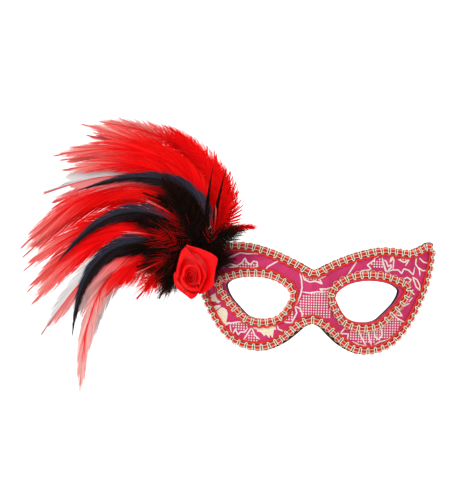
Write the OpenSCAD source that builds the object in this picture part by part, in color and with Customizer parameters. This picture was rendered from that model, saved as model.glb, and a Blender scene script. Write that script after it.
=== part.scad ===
// Half face masquerade mask: a bent black shell with a felt lining behind and a brocade cover in front,
// gimp braid round the edge and round both eyes, and a bundle of cock feathers with a ribbon rose at one temple.
// The front faces -Y and +Z is up, as worn. The origin is on the inner face of the nose bridge.

/* [Mask] */
// Width across the wing tips, mm.
mask_w = 171; // [160:1:180]
// Height from the lowest edge under the eyes to the wing tips, mm.
mask_h = 80; // [74:1:86]
// Radius of the bend round the face, mm.
wrap_r = 115; // [105:1:150]
// Radius of the gentle bend from brow to cheek, mm.
brow_r = 220; // [180:5:400]
// How far the nose ridge stands out halfway down, mm.
nose_mid = 7.5; // [6:0.5:9]
// How much further it stands out at the foot than halfway down, mm.
nose_swing = 3.5; // [2:0.5:4]
// Half breadth of the nose ridge, mm.
nose_w = 15; // [13:0.5:18]
// Thickness of the moulded shell, mm.
shell_t = 2; // [1.6:0.1:2.4]
// Thickness of the brocade cover, mm.
cover_t = 0.5; // [0.4:0.1:0.8]
// Thickness of the felt lining, mm.
lining_t = 0.8; // [0.6:0.1:1.2]
// Clear gap between one layer of the mask and the next, mm.
layer_gap = 0.1; // [0.05:0.05:0.2]

/* [Elastic holes] */
// Diameter of the hole for the elastic behind each temple, mm.
hole_d = 3; // [2.5:0.1:3.5]
// Distance of each hole from the centre plane, mm.
hole_x = 71; // [68:0.5:73]
// Height of each hole above the nose bridge, mm.
hole_z = 12; // [8:0.5:16]

/* [Braid] */
// Width of the gimp braid, mm.
braid_w = 6.8; // [6:0.1:7]
// Thickness of the gimp braid, mm.
braid_t = 1.8; // [1.4:0.1:2.2]

/* [Rose] */
// Diameter of the ribbon rose, mm.
rose_d = 34; // [30:1:36]
// Angle the rose is turned outward from straight ahead, degrees.
rose_turn = 30; // [20:1:35]
// Height of the bud in the middle of the rose, mm.
bud_h = 11; // [9:0.5:12]

/* [Feathers] */
// Scale on the length of every long feather.
reach = 1; // [0.8:0.01:1.05]
// Thickness of a feather, mm.
feather_t = 0.6; // [0.4:0.05:0.6]
// Distance between one layer of feathers and the next at the quills, mm.
stack_step = 0.8; // [0.8:0.05:0.9]
// How much that distance grows for each millimetre out along the fan, mm.
stack_spread = 0.012; // [0.01:0.001:0.015]

/* [Hidden] */

// The outlines below are drawn as seen from the front, for a mask this wide and this high.
drawn_w = 171;
drawn_h = 80;
sx = mask_w / drawn_w;
sz = mask_h / drawn_h;
spans = 3;
rings = 5;
cover_d = lining_t + shell_t + 2 * layer_gap;
front_d = cover_d + cover_t;
braid_d = front_d + layer_gap;
hole_clear = 0.4;

// Right half of the mask edge, clockwise: along the brow to the wing tip, round the cheek to the nose arch,
// then up the centre plane.
brow_edge = [
    [0, 18.5], [12, 24.5], [25.5, 30.5], [39, 34.5], [49, 36],
    [58, 35.5], [67, 34.5], [75, 37.5], [82, 41], [85.5, 39.5]
];
cheek_edge = [
    [85.5, 39.5], [84, 22.5], [81, 8.5], [76, -4], [70.5, -15.5], [62.5, -27], [54, -34.5], [44, -38.7],
    [34, -39.2], [26, -37], [19, -32.8], [13, -27.3], [6.5, -21.3], [0, -18.8]
];
centre_edge = [[0, -18.8], [0, -6], [0, 6], [0, 18.5]];
// Edge of the eye opening, one point facing each point of the mask edge.
eye_edge = [
    [16.5, 2.5], [19.5, 5.8], [26.5, 9.8], [36, 12], [44, 12.2], [50, 11.6], [55, 10.4], [58.5, 8.6],
    [60.3, 7], [60.8, 5.5], [60.2, 3], [58.8, 0], [56.5, -3.5], [53.5, -6.8], [49.5, -10.8], [45, -14.8],
    [39.5, -16.6], [34, -16.8], [29, -16], [24.5, -14.2], [21.5, -11.3], [19.2, -8], [17.6, -5],
    [16.2, -2.5], [15.5, 0]
];
// Middle line of the braid: right half of the outer one, and all of the one round the eye.
outer_line = [
    [0, 15], [13, 21.5], [26.5, 27.2], [39.5, 31], [49, 32.6], [58, 32.2], [67, 31.2], [74, 33.6],
    [78.4, 36.2], [82, 35.9], [83.4, 32], [82, 23], [79, 9.5], [74, -3], [68.7, -14], [61, -25],
    [53, -31.7], [43.5, -35.2], [34.5, -35.6], [27.5, -33.6], [21, -29.6], [15.2, -24.4], [8, -18], [0, -15.2]
];
eye_line = [
    [12.6, -1.5], [13.7, 4], [17.4, 8.5], [25, 13], [32.5, 15], [41, 15.5], [50, 14.8], [58, 12.4],
    [64, 9.8], [66.2, 6.4], [65.1, 2.6], [61.8, -2.2], [59, -5.6], [55.9, -9], [51.6, -13.3], [46.6, -17.7],
    [38, -20.1], [30, -19.6],
    [21.8, -16.5], [16.5, -10]
];

// Feathers: [quill across, quill up, heading, length, curl, width, layer], mm and degrees in the frontal plane.
// A heading of 90 points up and 180 points away from the nose; the curl is the turn from quill to tip.
red_feathers = [
    [-70, 42, 37, 57, 83, 18, 0], [-70, 44, 62, 90, 83, 20, 3], [-71, 45, 70, 128, 102, 20, 1],
    [-72, 46, 97, 126, 70, 18, 5], [-74, 46, 89, 120, 84, 18, 2], [-76, 45, 83, 141, 109, 20, 6],
    [-77, 45, 91, 130, 98, 18, 4], [-77, 43, 103, 135, 96, 22, 3], [-80, 43, 89, 124, 103, 18, 7],
    [-81, 42, 102, 124, 102, 18, 1], [-83, 40, 103, 155, 123, 22, 5], [-84, 39, 114, 147, 111, 20, 2],
    [-85, 37, 135, 136, 86, 20, 6], [-87, 36, 144, 134, 83, 20, 5], [-87, 35, 148, 133, 83, 20, 8],
    [-89, 33, 165, 131, 73, 16, 3], [-91, 32, 169, 146, 100, 16, 4], [-91, 30, 167, 115, 92, 18, 0],
    [-89, 32, 145, 116, 106, 20, 1], [-92, 29, 173, 71, 61, 20, 7]
];
red_tufts = [
    [-93, 27, 197, 47, 16, 20, 2], [-95, 24, 221, 35, 10, 18, 4], [-96, 23, 265, 24, -24, 14, 6],
    [-71, 39, 34, 27, -30, 6, 8]
];
black_feathers = [
    [-76, 36, 72, 121, 128, 13, 9], [-94, 34, 101, 108, 130, 13, 9], [-102, 24, 128, 112, 137, 13, 9]
];
black_tufts = [
    [-74, 39, 102, 38, -21, 8, 10], [-71, 41, 86, 34, -8, 8, 11], [-80, 31, 36, 27, -19, 20, 12],
    [-79, 24, 350, 20, 16, 16, 10], [-87, 32, 151, 33, 9, 24, 11], [-90, 25, 187, 28, 12, 24, 10],
    [-90, 20, 233, 25, 5, 22, 11], [-83, 35, 103, 41, 25, 22, 13]
];
sections = 11;
quill_w = 0.1;
fan_x = -84;
fan_z = 24;
fan_y = 35.2;
fan_slope = 0.56;
fan_bend = 0.34;
fan_soft = 8;

// Ribbon rose: middle of its back face, and the sizes and turns of its folds.
rose_at = [-82.5, 19.5, 13.8];
ribbon_t = 1.4;
bud_r = 4;
inner_folds = 3;
fold_break = 12;
fold_lean = 1.3;
fold_gap = 0.3;
leaf_turn = [190, 30, 266, 110];
leaf_step = 1.2;
wall_low = len(leaf_turn) * leaf_step;
function leaf_reach(a) = rose_d / 2 * (0.75 + 0.25 * pow(cos(a * 0.9), 3));

// Felt pad under the quills.
pad_at = [-67, 21];
pad_r = 5.5;
pad_t = 2;

// Depth of the mask's inner face at a point of the frontal plane: a cylinder round the face, a gentle brow to
// cheek bend, and a bell shaped nose ridge that stands out more at its foot.
function nose_ridge(z) = nose_mid - nose_swing * sin(90 * max(-1, min(1, z / 20)));
function face_y(x, z) = wrap_r - sqrt(wrap_r * wrap_r - x * x) + z * z / (2 * brow_r) + nose_mid
    - nose_ridge(z) * exp(-x * x / (nose_w * nose_w));
function slope_x(x, z) = (face_y(x + 0.1, z) - face_y(x - 0.1, z)) / 0.2;
function slope_z(x, z) = (face_y(x, z + 0.1) - face_y(x, z - 0.1)) / 0.2;
function unit(v) = v / norm(v);
function face_normal(x, z) = unit([slope_x(x, z), -1, slope_z(x, z)]);
function on_normal(p, high) = [p[0], face_y(p[0], p[1]), p[1]] + high * face_normal(p[0], p[1]);
// Point a height above the inner face, on the normal whose foot puts the front of the cover at the drawn point.
function over_face(p, high) = let (n = face_normal(p[0], p[1]))
    on_normal([p[0] - n[0] * front_d, p[1] - n[2] * front_d], high);

// Smooth curve through points (Catmull-Rom): one step of it, an open run without its last point, a closed run.
function bend(a, b, c, d, t) = 0.5 * (2 * b + (c - a) * t + (2 * a - 5 * b + 4 * c - d) * t * t
    + (3 * b - a - 3 * c + d) * t * t * t);
function open_run(p) = [
    for (i = [0 : len(p) - 2])
        for (k = [0 : spans - 1])
            bend(p[max(i - 1, 0)], p[i], p[i + 1], p[min(i + 2, len(p) - 1)], k / spans)
];
function closed_run(p) = [
    for (i = [0 : len(p) - 1])
        for (k = [0 : spans - 1])
            bend(p[(i + len(p) - 1) % len(p)], p[i], p[(i + 1) % len(p)], p[(i + 2) % len(p)], k / spans)
];
function scaled(p) = [for (q = p) [q[0] * sx, q[1] * sz]];
function other_side(p) = [for (i = [len(p) - 1 : -1 : 0]) [-p[i][0], p[i][1]]];

mask_loop = scaled(concat(open_run(brow_edge), open_run(cheek_edge), open_run(centre_edge)));
eye_loop = scaled(closed_run(eye_edge));
turns = len(mask_loop);
centre_from = turns - spans * (len(centre_edge) - 1);

// Layer of the mask between two heights over the inner face: rings of points run from the eye opening to the
// mask edge on each half, and both halves share the points on the centre plane.
function ring_point(j, k, side) = let (q = eye_loop[k] + (mask_loop[k] - eye_loop[k]) * j / rings)
    [side * q[0], q[1]];
function on_centre(j, k) = j == rings && (k == 0 || k >= centre_from);
function spot(side, face, j, k) = let (m = k % turns, s = on_centre(j, m) ? 0 : side)
    ((s * 2 + face) * (rings + 1) + j) * turns + m;
function both(side, a, b, c) = side == 0 ? [a, b, c] : [a, c, b];
module mask_layer(low, high) {
    points = [
        for (side = [0, 1])
            for (height = [low, high])
                for (j = [0 : rings])
                    for (k = [0 : turns - 1])
                        over_face(ring_point(j, k, 1 - 2 * side), height)
    ];
    skins = [
        for (side = [0, 1])
            for (face = [0, 1])
                for (j = [0 : rings - 1])
                    for (k = [0 : turns - 1])
                        for (half = [0, 1])
                            both((side + face) % 2,
                                spot(side, face, j, k),
                                spot(side, face, j + half, k + 1),
                                half == 0 ? spot(side, face, j + 1, k + 1) : spot(side, face, j + 1, k))
    ];
    rims = [
        for (side = [0, 1])
            for (j = [0, rings])
                for (k = [0 : turns - 1])
                    if (j == 0 || k < centre_from)
                        for (half = [0, 1])
                            both((side + (j == 0 ? 1 : 0)) % 2,
                                spot(side, 0, j, k),
                                spot(side, half, j, k + 1),
                                half == 0 ? spot(side, 1, j, k + 1) : spot(side, 1, j, k))
    ];
    polyhedron(points = points, faces = concat(skins, rims), convexity = 8);
}

// Straight bore along the face normal at one of the two elastic holes.
module elastic_bore(side, diameter) {
    n = face_normal(side * hole_x, hole_z);
    translate([side * hole_x, face_y(side * hole_x, hole_z), hole_z])
        rotate([0, acos(n[2]), atan2(n[1], n[0])])
            translate([0, 0, -1])
                cylinder(h = lining_t + shell_t + layer_gap + 1, d = diameter, $fn = 32);
}

// Flat band with rounded edges swept along a closed line, always lying on the face.
band = [[-1, 0.3], [-0.8, 0], [0.8, 0], [1, 0.3], [1, 0.7], [0.8, 1], [-0.8, 1], [-1, 0.7]];
function along(line, i) = unit(line[(i + 1) % len(line)] - line[(i + len(line) - 1) % len(line)]);
function across(line, i) = let (d = along(line, i)) [d[1], -d[0]];
function stretch(p, d) = norm([1, slope_x(p[0], p[1]) * d[0] + slope_z(p[0], p[1]) * d[1]]);
function beside(line, i, b) = line[i] + across(line, i) * b / stretch(line[i], across(line, i));
module braid(line) {
    points = [
        for (i = [0 : len(line) - 1])
            for (c = band)
                over_face(beside(line, i, c[0] * braid_w / 2), braid_d + c[1] * braid_t)
    ];
    faces = [
        for (i = [0 : len(line) - 1])
            for (k = [0 : len(band) - 1])
                for (half = [0, 1])
                    let (j = (i + 1) % len(line), m = (k + 1) % len(band), n = len(band))
                        half == 0 ? [i * n + k, i * n + m, j * n + m] : [i * n + k, j * n + m, j * n + k]
    ];
    polyhedron(points = points, faces = faces, convexity = 8);
}
outer_half = scaled(open_run(outer_line));
outer_loop = concat(outer_half, [outer_line[len(outer_line) - 1] * sz],
    [for (i = [len(outer_half) - 1 : -1 : 1]) [-outer_half[i][0], outer_half[i][1]]]);
eye_braid_loop = scaled(closed_run(eye_line));

// Fan of feathers: depth of a layer of the stack over a point of the frontal plane.
function fan_depth(x, z, layer) = let (t = fan_x - x, r = norm([x - fan_x, z - fan_z]))
    fan_y + fan_slope * t - fan_bend * (norm([t, fan_soft]) - fan_soft) - layer * (stack_step + stack_spread * r);
// A feather bends most at its quill and runs nearly straight at its tip.
function heading_at(f, s) = f[2] + f[4] * (1 - pow(1 - s, 2));
// Middle line of a feather: equal steps along its length, each in the heading halfway through it.
function feather_line(f) = [
    for (i = 0, p = [f[0], f[1]]; i <= sections; p = p + line_step(f, i), i = i + 1)
        p
];
function line_step(f, i) = let (h = heading_at(f, min(1, (i + 0.5) / sections)))
    f[3] / sections * [cos(h), sin(h)];
function vane_w(f, s) = f[5] / 2 * (quill_w + (1 - quill_w) * sin(90 * min(1, s / 0.35))) * sqrt(1.02 - s * s);
vane = [[-1, 0], [-0.5, -0.4], [0.5, -0.4], [1, 0], [0.5, 0.4], [-0.5, 0.4]];
module feather(f) {
    n = len(vane);
    line = feather_line(f);
    points = [
        for (i = [0 : sections])
            let (s = i / sections, p = line[i], h = heading_at(f, s))
                for (c = vane)
                    let (q = p + [-sin(h), cos(h)] * c[0] * vane_w(f, s))
                        [q[0], fan_depth(q[0], q[1], f[6]) + c[1] * feather_t, q[1]]
    ];
    sides = [
        for (i = [0 : sections - 1])
            for (k = [0 : n - 1])
                for (half = [0, 1])
                    let (a = i * n + k, b = i * n + (k + 1) % n)
                        half == 0 ? [a, b, b + n] : [a, b + n, a + n]
    ];
    ends = [
        for (k = [1 : n - 2])
            for (end = [0, 1])
                end == 0 ? [0, k + 1, k] : [sections * n, sections * n + k, sections * n + k + 1]
    ];
    polyhedron(points = points, faces = concat(sides, ends), convexity = 4);
}
function longer(f) = [f[0], f[1], f[2], f[3] * reach, f[4], f[5], f[6]];

// Felt pad that the quills are glued to, standing on the cover between the two braids.
module feather_pad() {
    n = face_normal(pad_at[0], pad_at[1]);
    color("DimGray")
        translate(on_normal(pad_at, braid_d + layer_gap))
            rotate([0, acos(n[2]), atan2(n[1], n[0])])
                cylinder(h = pad_t, r = pad_r, $fn = 40);
}

module mask_shell() {
    color("Black")
        difference() {
            mask_layer(lining_t + layer_gap, lining_t + layer_gap + shell_t);
            elastic_bore(-1, hole_d);
            elastic_bore(1, hole_d);
        }
}

module felt_lining() {
    color("DimGray")
        difference() {
            mask_layer(0, lining_t);
            elastic_bore(-1, hole_d + hole_clear);
            elastic_bore(1, hole_d + hole_clear);
        }
}

module brocade_cover() {
    color("MediumVioletRed")
        mask_layer(cover_d, cover_d + cover_t);
}

module outer_braid() {
    color("FireBrick")
        braid(outer_loop);
}

module eye_braid(side) {
    color("FireBrick")
        braid(side > 0 ? eye_braid_loop : other_side(eye_braid_loop));
}

module red_feather(i) {
    color("Red")
        feather(longer(red_feathers[i]));
}

module red_tuft(i) {
    color("Red")
        feather(red_tufts[i]);
}

module black_feather(i) {
    color("Black")
        feather(longer(black_feathers[i]));
}

module black_tuft(i) {
    color("Black")
        feather(black_tufts[i]);
}

// Rose parts are drawn looking along +Z out of the rose and turned to face outward.
module on_rose() {
    translate(rose_at)
        rotate([90, 0, -rose_turn])
            children();
}

module rose_bud() {
    color("Red")
        on_rose()
            rotate_extrude($fn = 40)
                polygon([[0, wall_low], [bud_r * 0.7, wall_low], [bud_r, wall_low + 1], [bud_r, bud_h - 2],
                    [bud_r * 0.8, bud_h], [0, bud_h - 1.5]]);
}

// One standing fold of the ribbon beside the bud, leaning outward.
module rose_fold_inner(i) {
    r = bud_r + fold_gap;
    color("Red")
        on_rose()
            rotate([0, 0, 360 / inner_folds * i + 20])
                rotate_extrude(angle = 360 / inner_folds - fold_break, $fn = 48)
                    polygon([[r, wall_low], [r + ribbon_t, wall_low], [r + ribbon_t + fold_lean, bud_h - 1],
                        [r + fold_lean, bud_h - 1]]);
}

// One lying fold of the ribbon: a leaf with a blunt corner, at its own level under the bud.
module rose_fold_outer(i) {
    color("Red")
        on_rose()
            rotate([0, 0, leaf_turn[i]])
                translate([0, 0, i * leaf_step])
                    linear_extrude(leaf_step - fold_gap)
                        polygon([for (a = [-100 : 10 : 100]) leaf_reach(a) * [cos(a), sin(a)]]);
}

mask_shell();
felt_lining();
brocade_cover();
outer_braid();
eye_braid(-1);  // right_eye_braid
eye_braid(1);  // left_eye_braid
feather_pad();
rose_bud();
for (i = [0 : inner_folds - 1])
    rose_fold_inner(i);
for (i = [0 : len(leaf_turn) - 1])
    rose_fold_outer(i);
for (i = [0 : len(red_feathers) - 1])
    red_feather(i);
for (i = [0 : len(red_tufts) - 1])
    red_tuft(i);
for (i = [0 : len(black_feathers) - 1])
    black_feather(i);
for (i = [0 : len(black_tufts) - 1])
    black_tuft(i);
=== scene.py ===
"""Half face mask with braid, ribbon rose and cock feathers: the looks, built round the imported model."""
import math
from typing import NamedTuple
import bpy
import numpy as np
from mathutils import Matrix, Vector


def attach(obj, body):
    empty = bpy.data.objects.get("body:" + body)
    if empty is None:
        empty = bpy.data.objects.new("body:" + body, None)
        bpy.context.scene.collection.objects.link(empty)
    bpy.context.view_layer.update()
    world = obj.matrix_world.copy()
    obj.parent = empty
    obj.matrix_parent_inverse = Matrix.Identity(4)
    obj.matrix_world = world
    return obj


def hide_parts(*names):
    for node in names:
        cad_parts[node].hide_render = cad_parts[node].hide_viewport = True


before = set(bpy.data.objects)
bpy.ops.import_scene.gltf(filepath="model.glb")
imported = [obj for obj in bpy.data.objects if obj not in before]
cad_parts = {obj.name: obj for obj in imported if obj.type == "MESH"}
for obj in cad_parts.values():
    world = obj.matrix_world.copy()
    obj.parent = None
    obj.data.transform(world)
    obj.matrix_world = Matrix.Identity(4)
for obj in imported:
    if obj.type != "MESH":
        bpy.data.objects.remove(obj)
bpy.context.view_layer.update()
MM = 0.001
TURN = 2 * math.pi
rng = np.random.default_rng(7)

# ---- camera
VIEW_MID = (-61.1, 25.0, 31.8)
VIEW_TALL = 346.5
VIEW_AWAY = 2000.0
VIEW_ROLL = math.radians(2.1)


def make_camera():
    """A long lens straight ahead of the mask, rolled a little."""
    data = bpy.data.cameras.new("camera")
    data.lens = data.sensor_width * VIEW_AWAY / VIEW_TALL
    data.clip_start, data.clip_end = 0.01, 20
    cam = bpy.data.objects.new("camera", data)
    bpy.context.collection.objects.link(cam)
    c, s = math.cos(VIEW_ROLL), math.sin(VIEW_ROLL)
    x, y, z = VIEW_MID
    cam.matrix_world = Matrix(
        ((c, -s, 0, x * MM), (0, 0, -1, (y - VIEW_AWAY) * MM), (s, c, 0, z * MM), (0, 0, 0, 1))
    )
    bpy.context.scene.camera = cam


make_camera()

# ---- the mask's face, as in the part; all lengths from here on are in mm
WRAP_R, BROW_R = 115.0, 220.0
NOSE_MID, NOSE_SWING, NOSE_W = 7.5, 3.5, 15.0
# Heights over the inner face.
LINING_FRONT, COVER_BACK, FRONT_D, BRAID_D = 0.75, 3.05, 3.5, 3.6
# How far the cover stops short of the edge, under the braid, and the point that it draws in toward.
COVER_INSET, EYE_MID = 0.9, (43.0, 0.0)
MIRROR = np.array([-1.0, 1.0])


def drawn(*runs):
    """Lines of points in mm, each from a run of x, z, x, z ... in tenths of a mm."""
    return [np.reshape(run, (-1, 2)) / 10 for run in runs]


BROW_EDGE, CHEEK_EDGE, CENTRE_EDGE, EYE_EDGE, OUTER_LINE, EYE_LINE = drawn(
    # brow, from the centre plane to the wing's tip
    (0,185, 120,245, 255,305, 390,345, 490,360, 580,355, 670,345, 750,375, 820,410, 855,395),
    # cheek, from the wing's tip to the foot of the nose
    (855,395, 840,225, 810,85, 760,-40, 705,-155, 625,-270, 540,-345, 440,-387, 340,-392, 260,-370, 190,-328,
     130,-273, 65,-213, 0,-188),
    # up the centre plane
    (0,-188, 0,-60, 0,60, 0,185),
    # eye opening
    (165,25, 195,58, 265,98, 360,120, 440,122, 500,116, 550,104, 585,86, 603,70, 608,55, 602,30, 588,0, 565,-35,
     535,-68, 495,-108, 450,-148, 395,-166, 340,-168, 290,-160, 245,-142, 215,-113, 192,-80, 176,-50, 162,-25, 155,0),
    # middle of the outer braid on one half
    (0,150, 130,215, 265,272, 395,310, 490,326, 580,322, 670,312, 740,336, 784,362, 820,359, 834,320, 820,230, 790,95,
     740,-30, 687,-140, 610,-250, 530,-317, 435,-352, 345,-356, 275,-336, 210,-296, 152,-244, 80,-180, 0,-152),
    # middle of the eye's braid
    (126,-15, 137,40, 174,85, 250,130, 325,150, 410,155, 500,148, 580,124, 640,98, 662,64, 651,26, 618,-22, 590,-56,
     559,-90, 516,-133, 466,-177, 380,-201, 300,-196, 218,-165, 165,-100),
)


def unit(v):
    """Vectors scaled to a length of one."""
    return v / (np.linalg.norm(v, axis=-1, keepdims=True) + 1e-9)


def running(steps):
    """Distance reached after each step, from 0."""
    return np.concatenate([[0], np.cumsum(steps)])


def run_at(t, at, p):
    """Points at distances t along a run whose points p lie at distances at."""
    return np.stack([np.interp(t, at, p[:, 0]), np.interp(t, at, p[:, 1])], -1)


def face_y(x, z):
    """Depth of the inner face: wrap circle, plus brow parabola, less a bell shaped nose ridge that grows downward."""
    ridge = NOSE_MID - NOSE_SWING * np.sin(np.pi / 2 * np.clip(z / 20, -1, 1))
    wrap = WRAP_R - np.sqrt(np.maximum(WRAP_R**2 - x * x, 1))
    return wrap + z * z / (2 * BROW_R) + NOSE_MID - ridge * np.exp(-x * x / NOSE_W**2)


def face_slopes(x, z):
    """Slopes of the face along x and z, by central difference."""
    e = 0.1
    return (face_y(x + e, z) - face_y(x - e, z)) / (2 * e), (face_y(x, z + e) - face_y(x, z - e)) / (2 * e)


def face_normal(x, z):
    """Unit normal of the face, pointing out of its front."""
    a, b = face_slopes(x, z)
    return unit(np.stack([a, -np.ones_like(a), b], -1))


def over_face(p, high):
    """Points a height over the inner face, on the normal whose foot puts the cover's front at the drawn point p."""
    n = face_normal(p[..., 0], p[..., 1])
    x, z = p[..., 0] - n[..., 0] * FRONT_D, p[..., 1] - n[..., 2] * FRONT_D
    foot = np.stack([x, face_y(x, z), z], -1)
    return foot + np.asarray(high)[..., None] * face_normal(x, z)


def smooth_run(p, steps, closed=False):
    """Catmull-Rom curve through points, each span cut into equal steps; an open run keeps its last point."""
    n = len(p)
    i = np.arange(n if closed else n - 1)
    near = (lambda k: k % n) if closed else (lambda k: np.clip(k, 0, n - 1))
    a, b, c, d = (p[near(i + k)][:, None] for k in (-1, 0, 1, 2))
    t = (np.arange(steps) / steps)[None, :, None]
    run = 0.5 * (2 * b + (c - a) * t + (2 * a - 5 * b + 4 * c - d) * t**2 + (3 * b - a - 3 * c + d) * t**3)
    run = run.reshape(-1, p.shape[1])
    return run if closed else np.vstack([run, p[-1:]])


# ---- mesh helpers
def piece(name, shape, material, slot, *nodes):
    """A smooth mesh that rides on the mask and stands for the named nodes. Its shape is vertices in mm, faces of
    four corners, and one or two maps that give each vertex a (u, v)."""
    verts, faces, *maps = shape
    verts, faces = np.asarray(verts, np.float32) * MM, np.asarray(faces, np.int32)
    mesh = bpy.data.meshes.new(name)
    mesh.vertices.add(len(verts))
    mesh.vertices.foreach_set("co", verts.ravel())
    mesh.loops.add(faces.size)
    mesh.loops.foreach_set("vertex_index", faces.ravel())
    mesh.polygons.add(len(faces))
    mesh.polygons.foreach_set("loop_start", np.arange(0, faces.size, faces.shape[1], dtype=np.int32))
    mesh.polygons.foreach_set("use_smooth", np.ones(len(faces), bool))
    for key, values in zip(("UVMap", "Tone"), maps):
        layer = mesh.uv_layers.new(name=key)
        layer.data.foreach_set("uv", np.asarray(values, np.float32)[faces.ravel()].ravel())
    mesh.update(calc_edges=True)
    mesh.validate()
    mesh.materials.append(material)
    obj = bpy.data.objects.new(name, mesh)
    bpy.context.collection.objects.link(obj)
    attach(obj, "root")
    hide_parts(*nodes)
    return obj


def grid_faces(rows, cols, wrap_cols=False, wrap_rows=False, flip=False):
    """Quads of a grid of rows by cols points, joined round where asked."""
    r = np.arange(rows if wrap_rows else rows - 1)
    c = np.arange(cols if wrap_cols else cols - 1)
    r, c = np.meshgrid(r, c, indexing="ij")
    r2, c2 = (r + 1) % rows, (c + 1) % cols
    q = np.stack([r * cols + c, r * cols + c2, r2 * cols + c2, r2 * cols + c], -1).reshape(-1, 4)
    return q[:, ::-1] if flip else q


def repeat_faces(q, count, stride):
    """The same faces for each of count copies, stride vertices apart."""
    return (q[None] + (np.arange(count) * stride)[:, None, None]).reshape(-1, q.shape[1])


def flat_map(*parts):
    """One row of values for each vertex, from arrays that spread over one grid."""
    return np.stack(np.broadcast_arrays(*parts), -1).reshape(-1, len(parts))


def tubes(paths, up, radius, sides=6, closed=False):
    """Round threads along n paths of m points: rings of radius r in the plane of side and up at each point.
    Returns vertices, faces and (u along, v round)."""
    n, m, _ = paths.shape
    ahead = unit(np.roll(paths, -1, 1) - np.roll(paths, 1, 1) if closed else np.gradient(paths, axis=1))
    side = unit(np.cross(ahead, up))
    high = np.cross(side, ahead)
    a = np.linspace(0, TURN, sides, endpoint=False)[:, None]
    ring = side[:, :, None] * np.cos(a) + high[:, :, None] * np.sin(a)
    verts = paths[:, :, None] + np.broadcast_to(radius, (n, m))[..., None, None] * ring
    faces = grid_faces(m, sides, wrap_cols=True, wrap_rows=closed)
    step = np.linalg.norm(np.diff(paths, axis=1), axis=-1)
    along = np.concatenate([np.zeros((n, 1)), np.cumsum(step, 1)], 1)
    uv = flat_map(along[:, :, None], np.arange(sides) / sides)
    return verts.reshape(-1, 3), repeat_faces(faces, n, m * sides), uv


def joined(parts):
    """Several (vertices, faces, maps) made one."""
    verts, faces, *maps = zip(*parts)
    starts = running([len(v) for v in verts])
    faces = [f + int(at) for f, at in zip(faces, starts)]
    return [np.concatenate(arrays) for arrays in (verts, faces, *maps)]


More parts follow.
